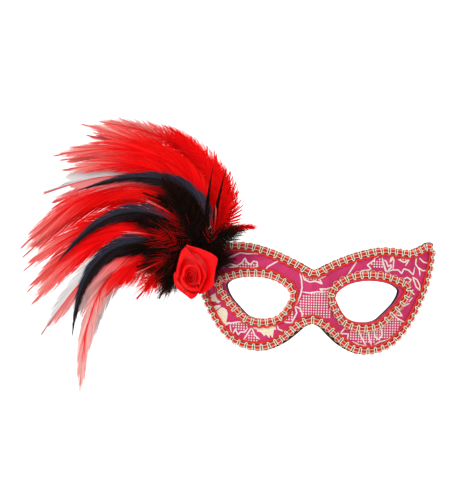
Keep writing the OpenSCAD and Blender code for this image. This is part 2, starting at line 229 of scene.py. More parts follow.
# ---- material helpers
class Nodes:
    """Short calls that add and link nodes, in a material's tree or in a group that several materials share."""

    def __init__(self, tree):
        self.tree = tree

    @classmethod
    def material(cls, name):
        mat = bpy.data.materials.new(name)
        mat.use_nodes = True
        n = cls(mat.node_tree)
        n.mat, n.shader = mat, mat.node_tree.nodes["Principled BSDF"]
        return n

    @classmethod
    def group(cls, name, takes, gives):
        """An empty shared group: takes holds each input's first value, gives names each output's kind."""
        n = cls(bpy.data.node_groups.new(name, "ShaderNodeTree"))
        for key, value in takes.items():
            kind = "NodeSocketColor" if isinstance(value, tuple) else "NodeSocketFloat"
            n.put(n.tree.interface.new_socket(key, in_out="INPUT", socket_type=kind), value)
        for key, kind in gives.items():
            n.tree.interface.new_socket(key, in_out="OUTPUT", socket_type=f"NodeSocket{kind}")
        n.takes = n.add("NodeGroupInput").outputs
        n.gives = n.add("NodeGroupOutput").inputs
        return n

    def use(self, group, **values):
        """Adds a shared group with the values given for its inputs, and returns its outputs."""
        node = self.add("ShaderNodeGroup")
        node.node_tree = group.tree
        for key, value in values.items():
            self.put(node.inputs[key.replace("_", " ")], value)
        return node.outputs

    def add(self, kind, links=None, **settings):
        node = self.tree.nodes.new(kind)
        for key, value in settings.items():
            setattr(node, key, value)
        for key, value in (links or {}).items():
            self.put(node.inputs[key], value)
        return node

    def put(self, socket, value):
        """Links another node's output to a socket, or sets the socket to a number or a colour."""
        if isinstance(value, bpy.types.NodeSocket):
            self.tree.links.new(value, socket)
        else:
            socket.default_value = (*value, 1) if isinstance(value, tuple) else value

    def math(self, op, a, b=0.0, c=0.0):
        return self.add("ShaderNodeMath", {0: a, 1: b, 2: c}, operation=op).outputs[0]

    def times(self, a, b, plus=None):
        """a times b, and a third value added to it where one is given."""
        return self.math("MULTIPLY", a, b) if plus is None else self.math("MULTIPLY_ADD", a, b, plus)

    def ramp(self, value, stops):
        node = self.add("ShaderNodeValToRGB", {"Fac": value})
        bar = node.color_ramp.elements
        while len(bar) < len(stops):
            bar.new(0.5)
        for e, (at, colour) in zip(bar, stops):
            e.position, e.color = at, (*colour, 1)
        return node.outputs["Color"]

    def span(self, value, low, high, **more):
        """A value carried from low..high to 0..1, held at both ends."""
        return self.add("ShaderNodeMapRange", {"Value": value, "From Min": low, "From Max": high}, **more).outputs[0]

    def tones(self, value, stops, colours):
        """Dark, middle and light colours blended over a value's three stops."""
        dark, middle, light = colours
        first, second = self.span(value, stops[0], stops[1]), self.span(value, stops[1], stops[2])
        return self.mix(second, self.mix(first, dark, middle), light)

    def mix(self, fac, a, b):
        node = self.add("ShaderNodeMix", data_type="RGBA")
        for key, value in (("Factor", fac), ("A", a), ("B", b)):
            self.put([s for s in node.inputs if s.name == key and s.enabled][0], value)
        return [s for s in node.outputs if s.enabled][0]

    def uv(self, layer="UVMap"):
        return self.add("ShaderNodeSeparateXYZ", {0: self.add("ShaderNodeUVMap", uv_map=layer).outputs[0]}).outputs

    def noise(self, scale, detail=2.0, where=None, rough=0.5):
        where = where or self.add("ShaderNodeTexCoord").outputs["Object"]
        links = {"Vector": where, "Scale": scale, "Detail": detail, "Roughness": rough}
        return self.add("ShaderNodeTexNoise", links).outputs["Fac"]

    def streaks(self, x, y, z=0.0):
        """Noise stretched along its three coordinates, each scaled beforehand."""
        return self.noise(1.0, 2.0, where=self.add("ShaderNodeCombineXYZ", {0: x, 1: y, 2: z}).outputs[0])

    def bump(self, height, strength=0.3, distance=0.0002):
        return self.add("ShaderNodeBump", {"Height": height, "Strength": strength, "Distance": distance}).outputs[0]

    def finish(self, **sockets):
        for key, value in sockets.items():
            self.put(self.shader.inputs[key.replace("_", " ")], value)
        return self.mat


def thread_group():
    """Twisted thread: slanting ply lines round the thread, each ply painted with a highlight on its crest and painted
    shade in the groove beside it, and slow changes of shade along it, in three tones.
    """
    takes = {"Twist": 1.1, "Dark": (0.1, 0.1, 0.1), "Mid": (0.5, 0.5, 0.5), "Light": (0.9, 0.9, 0.9)}
    n = Nodes.group("thread_ply", takes, {"Color": "Color", "Normal": "Vector"})
    u, v, _ = n.uv()
    turn = n.times(n.math("ADD", n.math("DIVIDE", u, n.takes["Twist"]), v), TURN)
    # ply wave: painted highlight on each ply's crest and painted shade in its grooves; it also drives the bump
    ply = n.times(n.math("SINE", turn), 0.5, 0.5)
    shade = n.math("ADD", n.times(ply, 0.55), n.times(n.noise(900.0, 3.0), 0.5))
    n.put(n.gives["Color"], n.tones(shade, (0.1, 0.45, 0.9), [n.takes[k] for k in ("Dark", "Mid", "Light")]))
    n.put(n.gives["Normal"], n.bump(ply, 0.5, 0.00015))
    return n


def lines_group():
    """Fine even lines across a cloth: half a sine of v + slant u, at a pitch in mm."""
    n = Nodes.group("woven_lines", {"Pitch": 0.45, "Slant": 0.35}, {"Lines": "Float"})
    u, v, _ = n.uv()
    turn = n.math("DIVIDE", n.times(u, n.takes["Slant"], v), n.takes["Pitch"])
    n.put(n.gives["Lines"], n.times(n.math("SINE", n.times(turn, TURN)), 0.5, 0.5))
    return n


THREAD_PLY = thread_group()
WOVEN_LINES = lines_group()


def thread_material(name, dark, mid, light):
    n = Nodes.material(name)
    color, normal = n.use(THREAD_PLY, Dark=dark, Mid=mid, Light=light)
    return n.finish(Base_Color=color, Roughness=0.5, Normal=normal, Specular_IOR_Level=0.3)


# ---- cover, shell and lining
def mask_grid(rings, steps, inset=0.0):
    """Frontal points of one half of the mask: rings run from the eye opening to the mask's edge, less an inset toward
    the eye, that leaves the centre plane where it is."""
    edge = np.vstack([smooth_run(r, steps)[:-1] for r in (BROW_EDGE, CHEEK_EDGE, CENTRE_EDGE)])
    inward = unit(np.array(EYE_MID) - edge) * inset
    edge = edge + inward * np.where(edge[:, :1] > 0.01, 1.0, (0.0, 1.0))
    eye = smooth_run(EYE_EDGE, steps, closed=True)
    return eye + (edge - eye) * np.linspace(0, 1, rings)[:, None, None]


def skin(rings, steps, low_at_edge, high, inset=0.0):
    """One skin of the mask at a height, both halves, with its edges turned to another height."""
    half = mask_grid(rings, steps, inset)
    flat = np.concatenate([half[:1], half, half[-1:]])
    tall = np.full(flat.shape[:2], high)
    tall[[0, -1]] = low_at_edge
    faces = grid_faces(*tall.shape, wrap_cols=True)
    sides = ((flat, faces), (flat * MIRROR, faces[:, ::-1]))
    return joined([(over_face(p, tall).reshape(-1, 3), q, p.reshape(-1, 2)) for p, q in sides])


def brocade_material():
    """Magenta satin: fine twill lines over ribs, with a slow moire of shade, and a satin sheen."""
    n = Nodes.material("brocade_ground")
    twill = n.use(WOVEN_LINES, Pitch=0.35, Slant=0.59)["Lines"]
    ribs = n.use(WOVEN_LINES, Pitch=0.42, Slant=0.0)["Lines"]
    weave = n.times(twill, ribs)
    shade = n.times(weave, 0.3, 0.05)
    shade = n.times(n.noise(110.0, 4.0), 0.55, shade)
    shade = n.times(n.noise(1400.0, 2.0), 0.2, shade)
    colour = n.ramp(shade, [(0.2, (0.41, 0.010, 0.08)), (0.5, (0.60, 0.024, 0.132)), (0.8, (0.73, 0.052, 0.20))])
    rough, normal = n.times(weave, 0.15, 0.42), n.bump(weave, 0.35, 0.0001)
    return n.finish(Base_Color=colour, Roughness=rough, Normal=normal, Specular_IOR_Level=0.25)


def felt_material():
    """Black felt: matted fibre noise."""
    n = Nodes.material("black_felt")
    fuzz = n.noise(2600.0, 5.0, rough=0.7)
    colour = n.ramp(fuzz, [(0.3, (0.004, 0.004, 0.005)), (0.7, (0.022, 0.021, 0.023))])
    normal = n.bump(fuzz, 0.8, 0.0003)
    return n.finish(Base_Color=colour, Roughness=0.95, Normal=normal, Sheen_Weight=0.1, Specular_IOR_Level=0.1)


def shell_material():
    """Black moulded plastic: faint mottling and a fine moulded grain."""
    n = Nodes.material("black_plastic")
    grain = n.noise(3000.0, 3.0)
    colour = n.ramp(n.noise(60.0, 3.0), [(0.3, (0.004, 0.004, 0.005)), (0.7, (0.010, 0.010, 0.011))])
    rough, normal = n.times(grain, 0.2, 0.5), n.bump(grain, 0.2, 0.0001)
    return n.finish(Base_Color=colour, Roughness=rough, Normal=normal, Specular_IOR_Level=0.15)


def build_mask_body():
    shape = skin(26, 8, COVER_BACK, FRONT_D, inset=COVER_INSET)
    cover = piece("brocade_ground", shape, brocade_material(), "brocade", "brocade_cover")
    felt = felt_material()
    verts, faces, uv = skin(14, 6, LINING_FRONT, 0.0)
    lining = piece("lining", (verts, faces[:, ::-1], uv), felt, "black_felt", "felt_lining")
    for node, material in (("mask_shell", shell_material()), ("feather_pad", felt)):
        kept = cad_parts[node].data.materials
        kept.clear()
        kept.append(material)


# ---- the brocade's woven figure
FIGURE_IVORY_LINES = drawn(
    (-605,245, -565,260, -515,285, -465,280, -405,285, -345,275),
    (-540,190, -500,215, -480,250, -465,220, -440,205, -420,230, -395,225, -390,195, -425,185),
    (-635,175, -580,205, -525,190, -590,180),
    (-240,245, -280,220, -320,195, -340,165),
    (-100,170, -85,115, -80,60, -90,5, -110,-45, -130,-70),
    (-125,-70, -90,-85, -75,-120, -75,-165),
    (-125,-70, -110,-115, -140,-185, -180,-185, -225,-155),
    (-85,165, -65,115, -25,100, 10,110, 60,90, 40,125, 85,145),
    (-80,30, -30,25, 25,35, 70,35, 45,55, 90,55, 130,70),
    (-645,-240, -595,-215, -525,-200, -455,-190),
    (-566,-220, -562,-252, -550,-293, -530,-249, -507,-288, -495,-267, -464,-266, -441,-237),
    (-417,-232, -445,-279, -471,-325),
    (-414,-236, -393,-283, -357,-313),
    (-245,-190, -230,-235, -185,-250, -140,-235),
    (297,254, 264,202, 236,156),
    (452,295, 424,285, 421,268, 372,232, 399,207, 385,198, 336,191, 309,169),
    (476,287, 488,242, 505,187),
    (475,290, 490,240, 510,190, 555,205, 595,205, 620,180, 635,215, 670,205, 705,175, 715,230),
    (487,270, 505,264, 521,226, 541,240, 544,223, 515,194),
    (549,300, 561,273, 556,210),
    (195,-250, 230,-210, 260,-185, 310,-200, 355,-190),
    (195,-250, 255,-250, 250,-300),
    (325,-225, 355,-280, 385,-330),
    (395,-225, 405,-280, 425,-330),
    (435,-210, 445,-265, 475,-285, 495,-250, 485,-200),
    (285,-300, 335,-325, 425,-335, 480,-300, 535,-285, 575,-265),
    (-707,-157, -675,-123, -637,-91),
)
FIGURE_CREAM_LINES = drawn(
    (590,280, 635,260, 675,285, 645,235),
    (725,300, 720,250, 750,210, 755,170),
    (745,295, 780,265, 810,260),
    (735,230, 775,205, 810,210),
    (630,140, 660,155, 690,140, 675,115, 645,120, 630,140),
    (700,160, 735,140, 755,105, 760,65, 730,90, 715,125, 700,160),
    (640,80, 685,65, 720,35),
    (665,15, 685,50, 710,70),
    (680,-15, 705,15),
    (565,-105, 605,-135, 665,-165),
    (570,-105, 635,-115, 605,-75),
    (590,-35, 645,-45, 685,-25),
)
FIGURE_FILLS = drawn(
    (-677,-5, -692,-16, -715,-30, -698,-34, -724,-59, -703,-60, -673,-60, -659,-72, -642,-63, -664,-46, -676,-27),
    (-634,-102, -614,-105, -596,-120, -589,-141, -592,-172, -598,-208, -567,-203, -594,-225, -622,-241, -638,-236,
     -663,-214, -676,-208, -686,-185, -669,-160, -690,-171, -664,-143, -682,-150, -648,-119),
    (-732,-110, -711,-106, -672,-94, -637,-86, -662,-101, -684,-116, -716,-131, -696,-112, -731,-114),
    (-408,-231, -373,-230, -347,-225, -321,-235, -304,-214, -287,-192, -270,-189, -256,-204, -248,-239, -262,-234,
     -267,-270, -268,-296, -280,-279, -288,-273, -292,-297, -306,-280, -323,-272, -325,-287, -341,-268, -359,-256,
     -377,-256, -373,-243, -395,-239),
    (549,298, 538,286, 532,256, 542,265, 557,283),
)
FIGURE_LATTICES = drawn(
    (-510,200, -480,235, -455,205, -400,210, -390,180, -510,170),
    (-75,160, -55,115, -5,105, 40,105, 65,140, 20,175),
    (-105,-60, -70,15, 40,25, 130,60, 145,-10, 115,-65, 125,-150, -70,-155),
    (-215,-115, -130,-80, -120,-145, -145,-180, -190,-170),
    (-580,-215, -450,-195, -440,-225, -475,-255, -510,-265, -545,-235),
    (-420,-255, -380,-300, -360,-335, -470,-340, -445,-295),
    (465,290, 385,235, 425,220, 495,205, 480,255),
    (590,275, 635,245, 670,275, 645,305),
    (255,-220, 275,-195, 385,-195, 485,-180, 530,-115, 580,-120, 645,-160, 605,-225, 565,-265, 475,-290, 425,-320,
     335,-310, 270,-285),
)
# Heights of the raised threads over the cloth, and of their feet.
LINE_HIGH, LEAF_HIGH, SQUARE_HIGH, FOOT_HIGH = 0.16, 0.14, 0.12, 0.01


def inside(p, polygon):
    """Even and odd crossings test of points against a closed polygon."""
    a, b = polygon, np.roll(polygon, -1, 0)
    x, z = p[..., 0, None], p[..., 1, None]
    over = (a[:, 1] > z) != (b[:, 1] > z)
    cross = a[:, 0] + (z - a[:, 1]) / np.where(a[:, 1] == b[:, 1], 1e-9, b[:, 1] - a[:, 1]) * (b[:, 0] - a[:, 0])
    return (over & (x < cross)).sum(-1) % 2 == 1


def on_cloth(p):
    """True where a point lies on the cover, clear of the eye openings."""
    half = np.stack([np.abs(p[..., 0]), p[..., 1]], -1)
    rim = np.vstack([smooth_run(r, 6) for r in (BROW_EDGE, CHEEK_EDGE, CENTRE_EDGE)])
    eye = smooth_run(EYE_EDGE, 6, closed=True)
    eye = eye.mean(0) + (eye - eye.mean(0)) * 1.03
    return inside(half, rim * 0.993) & ~inside(half, eye)


def woven_lines(lines, width):
    """Raised lines of weft: a crowned ribbon along each run of straights, cut where it leaves the cloth."""
    out = []
    for line in lines:
        p = run_at(np.linspace(0, len(line) - 1, 6 * (len(line) - 1) + 1), np.arange(len(line)), line)
        d = unit(np.gradient(p, axis=0))
        side = np.stack([-d[:, 1], d[:, 0]], -1)
        taper = width / 2 * np.clip(np.sin(np.pi * np.linspace(0.06, 0.94, len(p))) * 2.2, 0.35, 1)
        offs, tall = np.array([-1, -0.5, 0.5, 1]), np.array([FOOT_HIGH, LINE_HIGH, LINE_HIGH, FOOT_HIGH])
        flat = p[:, None] + side[:, None] * (taper[:, None] * offs)[..., None]
        q = grid_faces(len(p), 4)
        keep = on_cloth(flat.reshape(-1, 2))[q].all(1)
        out.append((over_face(flat, FRONT_D + tall).reshape(-1, 3), q[keep], flat.reshape(-1, 2)))
    return joined(out)


def woven_squares(polygons, pitch, half, high):
    """Squares of weft in rows inside each outline, each a flat top with sloping sides. pitch and half are the
    spacing and half the size, along x and z."""
    spots = []
    for polygon in polygons:
        ends = zip(polygon.min(0), polygon.max(0), pitch)
        p = np.stack(np.meshgrid(*[np.arange(low, top, step) for low, top, step in ends], indexing="ij"), -1)
        spots.append(p[inside(p, polygon) & on_cloth(p)])
    spots = np.concatenate(spots)[:, None]
    ring = np.array([(-1, -1), (1, -1), (1, 1), (-1, 1)]) * np.array(half)
    flat = np.concatenate([spots + ring, spots + ring * 0.72], 1)
    tall = np.broadcast_to(np.repeat([FOOT_HIGH, high], 4), flat.shape[:2])
    q = np.array([(4, 5, 6, 7), (0, 1, 5, 4), (1, 2, 6, 5), (2, 3, 7, 6), (3, 0, 4, 7)])
    return over_face(flat, FRONT_D + tall).reshape(-1, 3), repeat_faces(q, len(spots), 8), flat.reshape(-1, 2)


def weft_material(name, dark, mid, light):
    """Floats of shiny weft: fine lines across, over a slow change of shade."""
    n = Nodes.material(name)
    lines = n.use(WOVEN_LINES, Pitch=0.45, Slant=0.35)["Lines"]
    shade = n.math("ADD", n.times(lines, 0.45), n.times(n.noise(1500.0, 2.0), 0.6))
    colour = n.ramp(shade, [(0.2, dark), (0.5, mid), (0.85, light)])
    return n.finish(Base_Color=colour, Roughness=0.45, Normal=n.bump(lines, 0.4, 0.0001))


def build_figure():
    ivory = weft_material("weft_ivory", (0.60, 0.46, 0.42), (0.86, 0.80, 0.72), (0.94, 0.92, 0.86))
    cream = weft_material("weft_cream", (0.72, 0.56, 0.34), (0.95, 0.86, 0.64), (1.0, 0.97, 0.82))
    rims = [np.vstack([leaf, leaf[:1]]) for leaf in FIGURE_FILLS]
    for name, shape, material in (
        ("figure_lines", woven_lines(FIGURE_IVORY_LINES, 0.95), ivory),
        ("figure_gold_lines", woven_lines(FIGURE_CREAM_LINES, 0.9), cream),
        ("figure_leaves", woven_squares(FIGURE_FILLS, (0.5, 0.5), (0.27, 0.25), LEAF_HIGH), cream),
        ("figure_leaf_edges", woven_lines(rims, 0.5), cream),
        ("figure_lattice", woven_squares(FIGURE_LATTICES, (1.85, 1.75), (0.49, 0.49), SQUARE_HIGH), ivory),
    ):
        piece(name, shape, material, "brocade", "brocade_cover")


# ---- gimp braid
class Braid:
    """Places points on a braid by distance along it, distance to its outer side, and height over its back."""

    def __init__(self, line, period):
        dense = smooth_run(line, 24, closed=True)
        self.line = np.vstack([dense, dense[:1]])
        on_back = over_face(self.line, np.full(len(self.line), BRAID_D))
        self.at = running(np.linalg.norm(np.diff(on_back, axis=0), axis=1))
        self.length = self.at[-1]
        self.count = int(round(self.length / period))
        self.period = self.length / self.count

    def flat(self, s):
        return run_at(np.mod(s, self.length), self.at, self.line)

    def place(self, s, out, high):
        """Middle line, plus a step to the outer side shortened where the face turns away, at a height over the face."""
        s, out, high = np.broadcast_arrays(s, out, high)
        d = unit(self.flat(s + 0.8) - self.flat(s - 0.8))
        side = np.stack([-d[..., 1], d[..., 0]], -1)
        p = self.flat(s)
        a, b = face_slopes(p[..., 0], p[..., 1])
        stretch = np.sqrt(1 + (a * side[..., 0] + b * side[..., 1]) ** 2)
        return over_face(p + side * (out / stretch)[..., None], BRAID_D + high)

    def up(self, s):
        p = self.flat(s)
        return face_normal(p[..., 0], p[..., 1])


def braid_parts(name, line, node, flipped, period=5.6):
    """Gimp braid over a dark tape: red rung threads in blocks, ivory double loops between them, a gold thread waved
    along the scalloped side, a red cord waved along the other, and two pale threads that run over each block and
    down under each loop."""
    b = Braid(line, period)
    outer = -1.0 if flipped else 1.0
    blocks = (np.arange(b.count) * b.period)[:, None]
    run = np.linspace(0, b.length, 10 * b.count, endpoint=False)
    wave = np.cos(TURN * run / b.period)

    def threads(along, out, high, radius):
        """One thread for each block, from its own distances along, out and high."""
        s = blocks + along[None]
        return tubes(b.place(s, outer * out, high), b.up(s), radius)

    def cord(out, high, radius, sides):
        """One thread that runs the whole way round."""
        return tubes(b.place(run, outer * out, high)[None], b.up(run)[None], radius, sides, closed=True)

    # three rungs side by side, each arching from the outer side to the middle, the middle one prouder
    t = np.linspace(0, 1, 9)
    arch = 0.3 + 1.15 * np.sin(np.pi * np.clip(t * 0.92 + 0.06, 0, 1)) ** 0.7
    thick = 0.47 * np.clip(np.sin(np.pi * np.linspace(0.02, 0.98, 9)) * 6, 0.1, 1)
    red = [threads(k + 0 * t, 3.25 + 0.3 * (k == 0) - 4.0 * t, arch + 0.12 * (k == 0), thick) for k in (-1, 0, 1)]
    red.append(cord(-2.2 + 0.42 * wave, 0.85, 0.66, 7))
    # ivory loops between the blocks: down from the outer side, round, and back up
    a = np.linspace(0, np.pi, 11)
    half_loop, loop_end = 0.78, -0.65
    down = np.linspace(3.1, loop_end, 6)[:-1]
    along = np.concatenate([np.full(5, -half_loop), -half_loop * np.cos(a), np.full(5, half_loop)])
    out = np.concatenate([down, loop_end - 1.15 * half_loop * np.sin(a), down[::-1]])
    ivory = [threads(b.period / 2 + along, out, 1.25 + 0.35 * np.sin(np.linspace(0, np.pi, len(along))), 0.3)]
    over = 0.8 + 1.12 * np.clip(1.8 * wave + 0.5, 0, 1)
    ivory += [cord(k, over, 0.15, 5) for k in (2.1, -0.25)]
    # a gold thread arches over the outer end of each block
    g = np.linspace(-1, 1, 13)
    gold = [threads(1.85 * g, 3.85 - 2.7 * g**4, 1.2 + 0 * g, 0.2)]
    # tape under everything, a flat channel open at its back; its dark red brown is partly the tape's own colour and
    # partly painted shade for the gaps between the threads
    cross = np.array([(-2.6, 0.05), (-2.6, 0.3), (2.7, 0.3), (2.7, 0.05)])
    rows = 4 * b.count
    s = np.linspace(0, b.length, rows, endpoint=False)[:, None]
    strip = b.place(s, outer * cross[:, 0], cross[:, 1]).reshape(-1, 3)
    tape = (strip, grid_faces(rows, 4, wrap_rows=True, flip=not flipped), flat_map(s, cross[:, 0]))
    for part, shape in (("tape", tape), ("red", joined(red)), ("ivory", joined(ivory)), ("gold", joined(gold))):
        piece(f"{name}_{part}", shape, BRAID_THREADS[part], "gimp_braid", node)


def build_braids():
    outer = np.vstack([OUTER_LINE, OUTER_LINE[-2:0:-1] * MIRROR])
    braid_parts("edge_braid", outer, "outer_braid", False)
    braid_parts("left_eye_gimp", EYE_LINE, "left_eye_braid", False)
    braid_parts("right_eye_gimp", EYE_LINE[::-1] * MIRROR, "right_eye_braid", True)


# each thread's dark and light tones are painted shade in the grooves and a painted highlight on the plies
BRAID_THREADS = {
    "red": thread_material("braid_red", (0.30, 0.0, 0.0), (0.88, 0.012, 0.004), (1.0, 0.07, 0.03)),
    "ivory": thread_material("braid_ivory", (0.80, 0.68, 0.44), (1.0, 0.95, 0.78), (1.0, 1.0, 0.92)),
    "gold": thread_material("braid_gold", (0.30, 0.17, 0.03), (0.68, 0.50, 0.18), (0.90, 0.80, 0.50)),
    # the tape's dark red brown also stands for painted shade in the gaps between the threads
    "tape": thread_material("braid_tape_and_shade", (0.10, 0.018, 0.004), (0.26, 0.03, 0.008), (0.42, 0.12, 0.03)),
}


# ---- feathers
class Blade(NamedTuple):
    """One feather seen from the front: where its quill starts (mm), its heading there (degrees, 90 is up), its length,
    how far it turns from quill to tip (degrees), its width, and its layer in the stack, higher nearer the front."""
    x: float
    z: float
    heading: float
    length: float
    curl: float
    width: float
    layer: float


def blades(*rows):
    return [Blade(*row) for row in rows]


RED_FEATHERS = blades(
    (-70, 42, 37, 57, 83, 18, 0), (-70, 44, 62, 90, 83, 20, 3), (-71, 45, 70, 128, 102, 20, 1),
    (-72, 46, 97, 126, 70, 18, 5), (-74, 46, 89, 120, 84, 18, 2), (-76, 45, 83, 141, 109, 20, 6),
    (-77, 45, 91, 130, 98, 18, 4), (-77, 43, 103, 135, 96, 22, 3), (-80, 43, 89, 124, 103, 18, 7),
    (-81, 42, 102, 124, 102, 18, 1), (-83, 40, 103, 155, 123, 22, 5), (-84, 39, 114, 147, 111, 20, 2),
    (-85, 37, 135, 136, 86, 20, 6), (-87, 36, 144, 134, 83, 20, 5), (-87, 35, 148, 133, 83, 20, 8),
    (-89, 33, 165, 131, 73, 16, 3), (-91, 32, 169, 146, 100, 16, 4), (-91, 30, 167, 115, 92, 18, 0),
    (-89, 32, 145, 116, 106, 20, 1), (-92, 29, 173, 71, 61, 20, 7),
)
RED_TUFTS = blades(
    (-93, 27, 197, 47, 16, 20, 2), (-95, 24, 221, 35, 10, 18, 4), (-96, 23, 265, 24, -24, 14, 6),
    (-71, 39, 34, 27, -30, 6, 8),
)
BLACK_FEATHERS = blades(
    (-76, 36, 72, 121, 128, 13, 9), (-94, 34, 101, 108, 130, 13, 9), (-102, 24, 128, 112, 137, 13, 9),
)
BLACK_TUFTS = blades(
    (-74, 39, 102, 38, -21, 8, 10), (-71, 41, 86, 34, -8, 8, 11), (-80, 31, 36, 27, -19, 20, 12),
    (-79, 24, 350, 20, 16, 16, 10), (-87, 32, 151, 33, 9, 24, 11), (-90, 25, 187, 28, 12, 24, 10),
    (-90, 20, 233, 25, 5, 22, 11), (-83, 35, 103, 41, 25, 22, 13),
)
# Short dark brown feathers that lie between the long black ones, by the tuft each belongs to: partly brown web, partly
# painted shade that darkens the gaps between the black feathers.
BLACK_SHADE_VEILS = {
    "black_tuft_8": Blade(-80, 35, 100, 56, 62, 21, 9.3),
    "black_tuft_5": Blade(-88, 33, 122, 50, 60, 21, 9.3),
    "black_tuft_6": Blade(-95, 26, 146, 46, 58, 20, 9.3),
    "black_tuft_1": Blade(-78, 36, 86, 48, 50, 14, 9.4),
}
# Sparse red barbs that come through the dark down.
RED_GLINTS = blades(
    (-84, 30, 96, 50, 60, 26, 12.6), (-90, 27, 130, 46, 50, 26, 12.6), (-74, 32, 60, 28, 30, 16, 12.4),
    (-92, 24, 186, 34, 24, 22, 12.0),
)


class Style(NamedTuple):
    """How the webs and barbs of a kind of feather lie."""
    gap: float  # mm between loose barbs along the quill
    lean: tuple  # degrees from the quill at its foot, early, middle and tip
    root: float  # mm a barb is wide at its root
    tip: float  # mm a barb is wide at its tip
    lobe: float  # mm of quill to each lobe of web
    draw: float  # how far a lobe closes to a point
    web: float  # how far out the web reaches
    stray: float  # mm barbs stray in depth
    ragged: float  # how uneven the ends are
    roll: float  # mm a lobe's two sides are turned out of its plane
    thin: float = 0.0  # how far the outline narrows toward the tip
    over: float = 0.0  # how far the webs' ends pass the outline


STYLES = {
    "hackle": Style(0.34, (44, 19, 12, 9), 0.24, 0.06, 7.0, 0.85, 0.97, 0.3, 0.24, 0.2),
    "loose": Style(0.1, (46, 33, 26, 16), 0.24, 0.05, 1.3, 1.0, 0.86, 0.8, 0.6, 0.3, over=0.5),
    "down": Style(0.045, (75, 52, 40, 22), 0.15, 0.05, 2.0, 0.7, 0.6, 2.2, 0.8, 0.5),
    "spike": Style(0.2, (24, 12, 8, 5), 0.2, 0.06, 5.0, 0.5, 0.8, 0.3, 0.3, 0.3, thin=0.8),
    "blade": Style(0.3, (40, 19, 12, 7), 0.22, 0.06, 7.0, 0.7, 0.97, 0.15, 0.22, 0.1, thin=0.9),
    "veil": Style(0.16, (60, 34, 22, 12), 0.22, 0.05, 2.2, 0.95, 0.8, 0.9, 0.6, 0.3),
}
FAN_X, FAN_Z, FAN_Y = -84, 24, 35.2
FAN_SLOPE, FAN_BEND, FAN_SOFT = 0.56, 0.34, 8
STACK_STEP, STACK_SPREAD = 0.8, 0.012
# How far a barb's ends fall back from the quill's depth, for each mm squared from it.
ROOF = 0.008
TO_FRONT = np.array([0.0, -1.0, 0.0])


def fan_depth(x, z, layer):
    """Depth of the fan: a slanting sheet bent along the mask's side, each layer a little nearer to the front."""
    t, r = FAN_X - x, np.hypot(x - FAN_X, z - FAN_Z)
    sheet = FAN_Y + FAN_SLOPE * t - FAN_BEND * (np.sqrt(t * t + FAN_SOFT**2) - FAN_SOFT)
    return sheet - layer * (STACK_STEP + STACK_SPREAD * r)


def half_width(s, width, thin=0.0):
    """Half width of a blade at s from 0 to 1: a quick swell from the foot, then a quarter ellipse to the tip, which
    thin narrows."""
    s = np.clip(s, 0, 1)
    swell = 0.1 + 0.9 * np.sin(np.pi / 2 * np.minimum(1, s / 0.35))
    return (1 - thin * s) * width / 2 * swell * np.sqrt(1.003 - s * s)


def on_blade(row, s, v, lift):
    """Point s along a blade's middle line, v to its left, lifted toward the front from its layer's depth. The line
    turns by its curl, most at the foot: heading + curl (1 - (1 - s)^2), summed in small steps."""
    f = np.linspace(0, 1, 161)
    turn = lambda u: np.radians(row.heading + row.curl * (1 - (1 - u) ** 2))
    mid = turn((f[1:] + f[:-1]) / 2)
    line = np.stack([running(np.cos(mid)), running(np.sin(mid))], -1) * row.length / 160
    u = np.clip(s / row.length, 0, 1)
    h, over = turn(u), s - u * row.length
    p = run_at(u, f, line)
    x = row.x + p[..., 0] + over * np.cos(h) - v * np.sin(h)
    z = row.z + p[..., 1] + over * np.sin(h) + v * np.cos(h)
    return np.stack([x, fan_depth(x, z, row.layer) - lift, z], -1)


def strips(paths, widths, tilt):
    """Flat ribbons along n paths of m points, as wide as told, each rolled by its tilt away from facing front."""
    n, m, _ = paths.shape
    ahead = unit(np.gradient(paths, axis=1))
    side = unit(np.cross(ahead, TO_FRONT))
    wide = side * np.cos(tilt)[:, None, None] + np.cross(ahead, side) * np.sin(tilt)[:, None, None]
    wide = wide * (widths / 2)[..., None]
    verts = np.stack([paths - wide, paths + wide], 2).reshape(-1, 3)
    return verts, repeat_faces(grid_faces(m, 2, flip=True), n, m * 2)


def strip_map(*parts):
    """A map for strips, the same on both sides of each ribbon."""
    return flat_map(*parts).repeat(2, axis=0)


def reach_of(row, st, s0):
    """How far along the quill a barb runs before it meets the outline, and the outline's half width there."""
    lean = np.radians(np.interp(s0 / row.length, (0, 0.2, 0.55, 1), st.lean))
    reach = half_width(s0 / row.length, row.width, st.thin) / np.tan(lean)
    reach = np.minimum(reach, np.maximum(row.length * 1.01 - s0, 0.5))
    return reach, half_width((s0 + reach) / row.length, row.width, st.thin)


